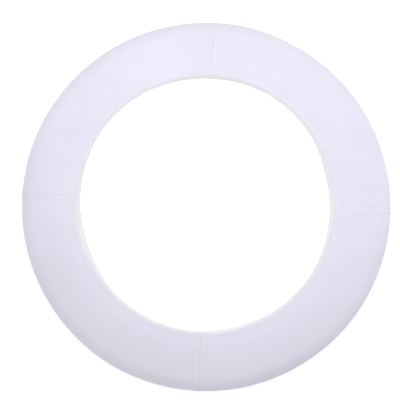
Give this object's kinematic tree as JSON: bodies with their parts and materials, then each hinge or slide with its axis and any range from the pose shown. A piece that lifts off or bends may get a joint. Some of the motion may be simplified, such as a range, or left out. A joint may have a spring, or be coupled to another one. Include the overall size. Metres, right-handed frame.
{
  "type": "padded rhythmic hoop",
  "caption": "Padded rhythmic gymnastics hoop: a rigid tube hoop inside a foam ring, with a sewn white fabric cover closed by a hidden zip.",
  "frame": {"origin": "centre of the ring, on the flat plane its back rests on", "axes": "+Z along the ring's axis, out of the front face; +Y towards the middle of the zip; +X towards the seam beside the zip's closed end"},
  "size_m": [0.968, 0.968, 0.072],
  "materials": {
    "cover_fabric": "matte",
    "inner_fabric": "matte",
    "foam": "matte",
    "hoop_tube": "gloss",
    "joint_plug": "matte",
    "joint_tape": "satin",
    "zip_tape": "matte",
    "zip_coil": "satin",
    "zip_metal": "satin"
  },
  "bodies": {
    "hoop": {"hoop_tube": "hoop_tube", "joint_plug": "joint_plug", "joint_tape": "joint_tape", "foam_front_1": "foam", "foam_front_2": "foam", "foam_front_3": "foam", "foam_front_4": "foam", "foam_back_1": "foam", "foam_back_2": "foam", "foam_back_3": "foam", "foam_back_4": "foam", "front_panel_1": "cover_fabric", "front_panel_2": "cover_fabric", "front_panel_3": "cover_fabric", "front_panel_4": "cover_fabric", "back_panel_1": "cover_fabric", "back_panel_2": "cover_fabric", "back_panel_3": "cover_fabric", "back_panel_4": "cover_fabric", "inner_wall": "inner_fabric", "zip_tape_upper": "zip_tape", "zip_tape_lower": "zip_tape", "zip_coil_upper": "zip_coil", "zip_coil_lower": "zip_coil", "zip_top_stops": "zip_metal", "zip_bottom_stop": "zip_metal"},
    "slider": {"zip_slider": "zip_metal"},
    "pull": {"zip_pull": "zip_metal"}
  },
  "joints": [
    {"name": "zip_slide", "type": "hinge", "parent": "hoop", "child": "slider", "pos_m": [0, 0, 0], "axis": [0, 0, 1], "range_deg": [0, 161]},
    {"name": "pull_swing", "type": "hinge", "parent": "slider", "child": "pull", "pos_m": [0.47653, 0.07974, 0.0157], "axis": [-0.4931, -0.0825, -0.866], "range_deg": [0, 180]}
  ]
}
